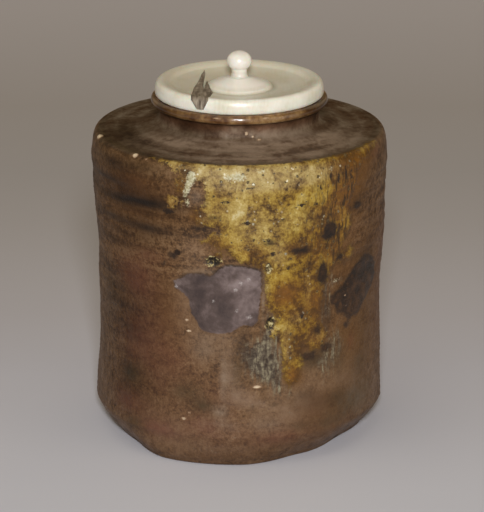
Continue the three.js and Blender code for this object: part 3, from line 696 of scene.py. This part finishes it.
# The melted places are wet and glossy over the duller clay, and the scar is smooth
rough = node("MapRange", (grains["mottle"], 0.3, 0.7, 0.6, 0.45))
coat = node("MapRange", (grains["mottle"], 0.4, 0.7, 0, 0.12))
for mask, dullness, shine in (
        (edges["ash_mm"], 0.4, 0.25), (edges["scar_mm"], 0.4, 0.3), (edges["stain_mm"], 0.5, 0.25),
        (edges["pale_and_glints_mm"], 0.3, 0.8), (edges["speck_and_glint_mm"], 0.3, 1), (zones["lip"], 0.35, 0.6)):
    rough = node("Mix FLOAT", (mask, rough, dullness))
    coat = node("Mix FLOAT", (mask, coat, shine))
bumpy = node("Math MULTIPLY_ADD", (edges["scar_mm"], -0.6, 1))
bumpy = node("Math MULTIPLY_ADD", (zones["shoulder"], -0.45, bumpy))
bumpy = node("Math MULTIPLY_ADD", (zones["lip"], -0.35, bumpy), use_clamp=True)
lumps = node("Math MULTIPLY_ADD", (pitted, -0.4, grains["grit"]))
fine_bump = node("Math MULTIPLY", (values["cream_and_sheen"], edges["ash_mm"]))
fine_bump = node("Math MULTIPLY_ADD", (fine_bump, 0.6, 0.3))
fine_bump = node("Math MULTIPLY", (bumpy, fine_bump))
lump_bump = node("Math MULTIPLY", (bumpy, 0.6))
grainy = node("Bump", {"Height": grains["fine"], "Strength": fine_bump, "Distance": 0.12 * MM})
lumpy = node("Bump", {"Height": lumps, "Strength": lump_bump, "Distance": 0.3 * MM, "Normal": grainy})
fill(surface, {"Base Color": colour, "Roughness": rough, "Normal": lumpy, "Coat Weight": coat, "Coat Normal": lumpy,
               "IOR": 1.5, "Specular IOR Level": 0.22, "Coat Roughness": 0.1, "Coat IOR": 1.7})
jar.data.materials.append(stoneware)
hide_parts("jar_body")
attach(jar, "jar")

# ---- lid_lining ----
# A disc of thick paper faced with squares of metal leaf, glued under the lid's spigot.
# It faces the tea, and its leaf shows overlapping seams and fine creases.
LINING_RADIUS = 14.3
LINING_BOTTOM = 73.35
LINING_TOP = 73.59
LINING_TURNS = 128
LEAF = 11
lining_points = outline((0, LINING_BOTTOM), [
    (LINING_RADIUS - 0.1, LINING_BOTTOM), (LINING_RADIUS, LINING_BOTTOM, LINING_RADIUS, LINING_BOTTOM + 0.1),
    (LINING_RADIUS, LINING_TOP), (0, LINING_TOP)], 0.5)
lining = turned("lid_lining_leaf", lining_points, LINING_TURNS)

# Metal leaf on paper: a soft warm shine, a little worn, with a seam round each square
leafed, node, surface, place = material("leafed_paper")
crumple = node("TexNoise", {"Vector": place, "Scale": per_mm / 1.6, "Detail": 4, "Distortion": 0.6})
squares = node("TexBrick", {
    "Vector": place, "Color1": linear("#c9a049"), "Color2": linear("#c0953c"), "Mortar": linear("#8d6a2a"),
    "Scale": per_mm / LEAF, "Mortar Size": 0.012, "Brick Width": 1, "Row Height": 1}, offset=0)
worn = node("Mix RGBA", (crumple, squares.outputs["Color"], linear("#a87f35")))
creased = node("Bump", {"Height": crumple, "Strength": 0.4, "Distance": 0.2 * MM})
fill(surface, {"Base Color": worn, "Normal": creased, "Metallic": 0.85, "Roughness": 0.38})
lining.data.materials.append(leafed)
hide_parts("lid_lining")
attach(lining, "lining")

# ---- lid_disc ----
# A disc turned on a lathe from an ivory-coloured block: a round rim, a scooped ring, a low boss that
# takes the knob's peg, and a spigot underneath. A pocket is cut across rim and ring for the dark sliver.
LID_RADIUS = 18.6
LID_BOTTOM = 75.8
LID_CREST = 79.15
RIM_WIDTH = 2.6
RECESS = 77.4
BOSS_RADIUS = 6.9
BOSS_EDGE = 0.6
BOSS_TOP = 79.75
BOSS_RISE = 1.75
SPIGOT_RADIUS = 14.6
SPIGOT_BOTTOM = 73.6
PEG_HOLE = 1.1
PEG_DEPTH = 2.9
KNOB_FOOT = 2.15
LID_TURNS = 256
SHARP = math.radians(50)
INLAY_DEPTH = 0.75
POCKET_GROWTH = 0.06
ABOVE_LID = LID_CREST + 2
SLIVER = [(-0.416, 0.64), (-0.445, 0.52), (-0.484, 0.24), (-0.535, -0.07), (-0.558, -0.47), (-0.558, -0.81),
          (-0.55, -0.87), (-0.45, -0.96), (-0.355, -0.98), (-0.364, -0.88), (-0.35, -0.56), (-0.33, -0.38),
          (-0.308, -0.26), (-0.345, -0.156), (-0.368, -0.01), (-0.37, 0.12), (-0.381, 0.29), (-0.393, 0.18),
          (-0.405, -0.02), (-0.416, -0.078), (-0.429, 0.06), (-0.424, 0.28), (-0.409, 0.53)]
# On the rim's face the sliver narrows downwards: two points on either edge, and how its sides slope inwards
SLIVER_SIDES = [((-10.34, -15.09, 78.44), (-9.28, -16.12, 76.84)), ((-6.75, -16.74, 78.82), (-7.63, -16.96, 77.07))]
SIDE_SLOPE = math.radians(30)
rim_inner = LID_RADIUS - RIM_WIDTH
groove_radius = BOSS_RADIUS + BOSS_EDGE
lid_points = outline((0, SPIGOT_BOTTOM), [
    (SPIGOT_RADIUS - 0.3, SPIGOT_BOTTOM), (SPIGOT_RADIUS, SPIGOT_BOTTOM, SPIGOT_RADIUS, SPIGOT_BOTTOM + 0.3),
    (SPIGOT_RADIUS, LID_BOTTOM), (LID_RADIUS - 0.8, LID_BOTTOM),
    (LID_RADIUS, LID_BOTTOM, LID_RADIUS, LID_BOTTOM + 0.9),
    (LID_RADIUS, LID_CREST, LID_RADIUS - RIM_WIDTH / 2, LID_CREST),
    (rim_inner, LID_CREST, rim_inner - RIM_WIDTH / 2, (LID_CREST + RECESS) / 2),
    ((rim_inner + groove_radius) / 2, RECESS, groove_radius, RECESS),
    (groove_radius - 0.25, RECESS - 0.05, BOSS_RADIUS + 0.15, RECESS + BOSS_EDGE - 0.1),
    (BOSS_RADIUS, RECESS + BOSS_EDGE + 0.1, BOSS_RADIUS - 0.5, RECESS + BOSS_EDGE + 0.3),
    (BOSS_RADIUS * 2 / 3, BOSS_TOP - BOSS_RISE / 3, KNOB_FOOT, BOSS_TOP),
    (PEG_HOLE, BOSS_TOP), (PEG_HOLE, BOSS_TOP - PEG_DEPTH), (0, BOSS_TOP - PEG_DEPTH)], 0.35)


def block(name, corners, bottom):
    """A straight-sided block over an outline, filled and pulled up past the lid."""
    piece = drawn(name, [(x, y, bottom) for x, y in corners])
    bpy.ops.mesh.select_all(action="SELECT")
    bpy.ops.mesh.edge_face_add()
    bpy.ops.mesh.extrude_region_move(TRANSFORM_OT_translate={"value": (0, 0, (ABOVE_LID - bottom) * MM)})
    bpy.ops.mesh.select_all(action="SELECT")
    bpy.ops.mesh.normals_make_consistent(inside=False)
    bpy.ops.object.mode_set(mode="OBJECT")
    return piece


def narrowed(piece, growth):
    """Pares the block's front end along the sliver's two sloping sides, growth mm outside them."""
    bpy.ops.object.mode_set(mode="EDIT")
    for (upper, lower), outwards in zip(SLIVER_SIDES, (-1, 1)):
        edge = Vector(lower) - Vector(upper)
        away = edge.cross((0, math.cos(SIDE_SLOPE), -math.sin(SIDE_SLOPE))).normalized()
        away *= outwards * math.copysign(1, away.x)
        bpy.ops.mesh.select_all(action="SELECT")
        bpy.ops.mesh.bisect(plane_co=(Vector(upper) + away * growth) * MM, plane_no=away, use_fill=True,
                            clear_outer=True)
    bpy.ops.object.mode_set(mode="OBJECT")


def cut(piece, tool, operation):
    """Cuts one piece by another with a boolean, and takes the other away."""
    bpy.ops.object.select_all(action="DESELECT")
    bpy.context.view_layer.objects.active = piece
    piece.select_set(True)
    change = piece.modifiers.new("cut", "BOOLEAN")
    change.operation = operation
    change.solver = "MANIFOLD"
    change.object = tool
    bpy.ops.object.modifier_apply(modifier="cut")
    bpy.data.objects.remove(tool)
    piece.data.materials.clear()


def grown(corners, distance):
    """The outline moved outwards by a distance at every side."""
    moved = []
    for i, (x, y) in enumerate(corners):
        before, after = corners[i - 1], corners[(i + 1) % len(corners)]
        first, second = math.atan2(y - before[1], x - before[0]), math.atan2(after[1] - y, after[0] - x)
        out = complex(math.sin(first), -math.cos(first)) + complex(math.sin(second), -math.cos(second))
        out /= abs(out)
        moved.append((x + out.real * distance, y + out.imag * distance))
    return moved


sliver_corners = [(x * LID_RADIUS, y * LID_RADIUS) for x, y in SLIVER]
disc = turned("lid_disc_turned", lid_points, LID_TURNS)
pocket = block("pocket", grown(sliver_corners, POCKET_GROWTH), RECESS - INLAY_DEPTH)
narrowed(pocket, POCKET_GROWTH)
cut(disc, pocket, "DIFFERENCE")
bpy.ops.object.shade_smooth_by_angle(angle=SHARP)

# An ivory-coloured block, cut and polished: soft gloss, light that sinks in a little, and faint level lines
PATINA_AND_SHADE = "#a2977c"
ivory, node, surface, place = material("turned_ivory_coloured_lid")
cloud = node("TexNoise", {"Vector": place, "Scale": per_mm / 6, "Detail": 3})
lines = node("Mapping", {"Vector": place, "Scale": (1, 0.08, 0.3)})
lines = node("TexNoise", {"Vector": lines, "Scale": per_mm / 0.5, "Detail": 2})
tone = node("Math MULTIPLY_ADD", (cloud, 0.75, 0))
tone = node("Math MULTIPLY_ADD", (lines, 0.25, tone))
ivory_colour = node("ValToRGB", (tone,), ((0.35, "#d8d4bf"), (0.5, "#e4e2d4"), (0.65, "#ecebe0")))
flat_place = node("VectorMath MULTIPLY", (place, (1, 1, 0)))
from_middle = node("VectorMath LENGTH", (flat_place,))
# The dish around the boss is painted yellower, partly patina and partly painted shade that is strongest at the
# back, and the boss is painted whiter
backwards = node("VectorMath DOT_PRODUCT", (place, (-0.5, 1, 0)))
yellowed_and_shaded = node("MapRange", (backwards, -12 * MM, 14 * MM, 0.1, 0.75))
RING_FADE = 1.6
for begin, full, end, paint, share in (
        (groove_radius - 0.4, groove_radius + 0.4, rim_inner + RING_FADE, "#cfc8b1", yellowed_and_shaded),
        (0, KNOB_FOOT, BOSS_RADIUS, "#faf7f0", 0.8)):
    rising = node("MapRange SMOOTHSTEP", (from_middle, begin * MM, full * MM))
    falling = node("MapRange SMOOTHSTEP", (from_middle, (end - RING_FADE) * MM, end * MM, share, 0))
    ring = node("Math MULTIPLY", (rising, falling))
    ivory_colour = node("Mix RGBA", (ring, ivory_colour, linear(paint)))
# Darker rings in the groove round the boss and round the knob's foot: patina and painted shade
for at, width, share in (
        (groove_radius + 0.3, 1.1, 0.35), (groove_radius - 0.1, 0.45, 0.4), (KNOB_FOOT + 0.1, 0.35, 0.2)):
    near = node("Math SUBTRACT", (from_middle, at * MM))
    near = node("Math ABSOLUTE", (near,))
    near = node("MapRange SMOOTHSTEP", (near, 0, width * MM, share, 0))
    ivory_colour = node("Mix RGBA", (near, ivory_colour, linear(PATINA_AND_SHADE)))
# The lathe tool left fine rings
TOOL_PITCH = 0.35
tool_place = node("Math MULTIPLY", (from_middle, per_mm / TOOL_PITCH))
tooled = node("TexNoise 1D", {"W": tool_place, "Scale": 1, "Detail": 2})
marks = node("Bump", {"Height": tooled, "Strength": 0.12, "Distance": 0.05 * MM})
polish = {"IOR": 1.53, "Subsurface Weight": 0.2, "Subsurface Scale": 0.8 * MM}
fill(surface, {"Base Color": ivory_colour, "Normal": marks, "Roughness": 0.3, **polish})
disc.data.materials.append(ivory)
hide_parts("lid_disc")
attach(disc, "lid")

# ---- lid_knob ----
# A ball on a short waisted stem, turned from a whiter block and pegged into the boss.
# Handling has polished the ball, and the stem is painted darker towards the boss as painted shade.
BALL_RADIUS = 2.75
BALL_HEIGHT = 4.5
STEM_RADIUS = 1.75
STEM_HEIGHT = 1.35
PEG_RADIUS = 0.8
PEG_LENGTH = 2.6
KNOB_GAP = 0.02
KNOB_TURNS = 96
ball_middle = BOSS_TOP + STEM_HEIGHT + BALL_HEIGHT / 2
ball_start = math.acos(STEM_RADIUS / BALL_RADIUS)
ball_points = [(BALL_RADIUS * math.cos(a), ball_middle + BALL_HEIGHT / 2 * math.sin(a))
               for a in np.linspace(-ball_start, math.pi / 2, 40)]
ball_points[-1] = (0, ball_middle + BALL_HEIGHT / 2)
knob_bottom = BOSS_TOP + KNOB_GAP
knob_points = outline((0, BOSS_TOP - PEG_LENGTH), [
    (PEG_RADIUS, BOSS_TOP - PEG_LENGTH), (PEG_RADIUS, knob_bottom), (KNOB_FOOT - 0.08, knob_bottom),
    (KNOB_FOOT, knob_bottom, KNOB_FOOT, BOSS_TOP + 0.1),
    (STEM_RADIUS, BOSS_TOP + 0.2, STEM_RADIUS - 0.05, BOSS_TOP + STEM_HEIGHT * 0.75),
    (STEM_RADIUS - 0.05, ball_points[0][1] - 0.1, *ball_points[0])], 0.15) + ball_points[1:]
knob = turned("lid_knob_ball", knob_points, KNOB_TURNS)

# The same polish on a whiter block, glossier from handling
polished, node, surface, place = material("polished_ivory_coloured_knob")
cloud = node("TexNoise", {"Vector": place, "Scale": per_mm / 2.5, "Detail": 3})
knob_colour = node("ValToRGB", (cloud,), ((0.35, "#e7e4d9"), (0.5, "#eeece4"), (0.65, "#f2f1ec")))
apart = node("SeparateXYZ", (place,))
# painted shade on the stem, darkest at the boss
stem_shade = node("MapRange SMOOTHSTEP", (apart.outputs["Z"], (BOSS_TOP + 0.9) * MM, (BOSS_TOP + 1.9) * MM, 0.3, 0))
knob_colour = node("Mix RGBA", (stem_shade, knob_colour, linear(PATINA_AND_SHADE)))
fill(surface, {"Base Color": knob_colour, "Roughness": 0.22, **polish})
knob.data.materials.append(polished)
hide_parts("lid_knob")
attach(knob, "lid")

# ---- su_inlay ----
# A dark, grained sliver let into the pocket and worked down flush with the lid's own surface,
# so it is cut here from the same turned shape. Only its grain stands up a little.
SLIVER_LIFT = 0.1
sliver = turned("su_inlay_sliver", lid_points, LID_TURNS)
sliver_block = block("sliver_block", sliver_corners, RECESS - INLAY_DEPTH + SLIVER_LIFT)
narrowed(sliver_block, 0)
cut(sliver, sliver_block, "INTERSECT")
bpy.ops.object.shade_smooth_by_angle(angle=SHARP)

# Dark horn or wood, dull and fibrous along its length
horn, node, surface, place = material("dark_grained_sliver")
lines = node("Mapping", {"Vector": place, "Scale": (1, 0.14, 0.3), "Rotation": (0, 0, -0.12)})
lines = node("TexNoise", {"Vector": lines, "Scale": per_mm / 0.55, "Detail": 4})
lumps = node("TexNoise", {"Vector": place, "Scale": per_mm / 1.4, "Detail": 3})
tone = node("Math MULTIPLY_ADD", (lines, 0.7, 0))
tone = node("Math MULTIPLY_ADD", (lumps, 0.3, tone))
horn_colour = node("ValToRGB", (tone,), (
    (0.35, "#564b3f"), (0.48, "#817566"), (0.58, "#9e9382"), (0.7, "#bcb2a0")))
fibrous = node("Bump", {"Height": lines, "Strength": 0.6, "Distance": 0.2 * MM})
fill(surface, {"Base Color": horn_colour, "Normal": fibrous, "Roughness": 0.55})
sliver.data.materials.append(horn)
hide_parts("su_inlay")
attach(sliver, "lid")

# ---- The floor and the light ----
# A sheet of grey paper runs back from the jar, lighter in front, with a darker band of painted shade behind
# the jar. A small key lamp stands in front, 23 degrees up, wide lamps fill from both sides, two weak warm
# ones stand behind, and one hangs overhead in a dim warm room.
FLOOR_SIZE = 6
PAPER_FROM = -0.08
PAPER_TO = 0.42
bpy.ops.mesh.primitive_plane_add(size=FLOOR_SIZE)
floor = bpy.context.object
floor.name = "floor"
paper, node, surface, place = material("floor_paper")
apart = node("SeparateXYZ", (place,))
back = node("MapRange", (apart.outputs["Y"], PAPER_FROM, PAPER_TO))
# The paper's colour is lighter in front and darker partway back, a painted band of shade
paper_with_painted_shade = node("ValToRGB", (back,), (
    (0.07, "#d3d5df"), (0.22, "#cdced8"), (0.31, "#c3c2c9"), (0.46, "#b8b6b9"), (0.56, "#b3b1b3"),
    (0.7, "#b5b2b3"), (0.95, "#cac9d0")))
fill(surface, {"Base Color": paper_with_painted_shade, "Roughness": 0.9, "Specular IOR Level": 0.1})
floor.data.materials.append(paper)
floor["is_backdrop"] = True

for name, direction, distance, side, power, tint in (
        ("key", (0.01, -0.93, 0.40), 1.3, 0.14, 12.2, "#ffffff"),
        ("fill", (0.9, -0.5, 0.3), 1.4, 0.9, 2.8, "#fff4e2"),
        ("left", (-0.9, -0.5, 0.3), 1.4, 0.9, 1.0, "#fff4e2"),
        ("back_left", (-0.8, 0.9, 0.6), 1.5, 1.1, 1.7, "#ffe4bc"),
        ("back_right", (0.8, 0.9, 0.6), 1.5, 1.1, 1.7, "#ffe4bc"),
        ("overhead", (-0.3, -0.35, 1), 1.5, 1.4, 3.6, "#fff8ea")):
    length = math.hypot(*direction)
    spot = [c / length * distance for c in direction]
    tilt = math.acos(spot[2] / distance)
    swing = math.atan2(spot[1], spot[0]) + math.pi / 2
    bpy.ops.object.light_add(type="AREA", location=(spot[0], spot[1], spot[2] + AIM_HEIGHT),
                             rotation=(tilt, 0, swing))
    lamp = bpy.context.object
    lamp.name = name
    lamp.data.shape = "SQUARE"
    lamp.data.size = side
    lamp.data.energy = power
    lamp.data.color = linear(tint)[:3]

world = bpy.data.worlds.new("warm_room")
world.use_nodes = True
fill(world.node_tree.nodes["Background"], {"Color": linear("#e6c690"), "Strength": 0.14})
bpy.context.scene.world = world
bpy.context.scene.view_settings.view_transform = "Standard"

[[list(corner) for corner in box] for box in (cad_box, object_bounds())]
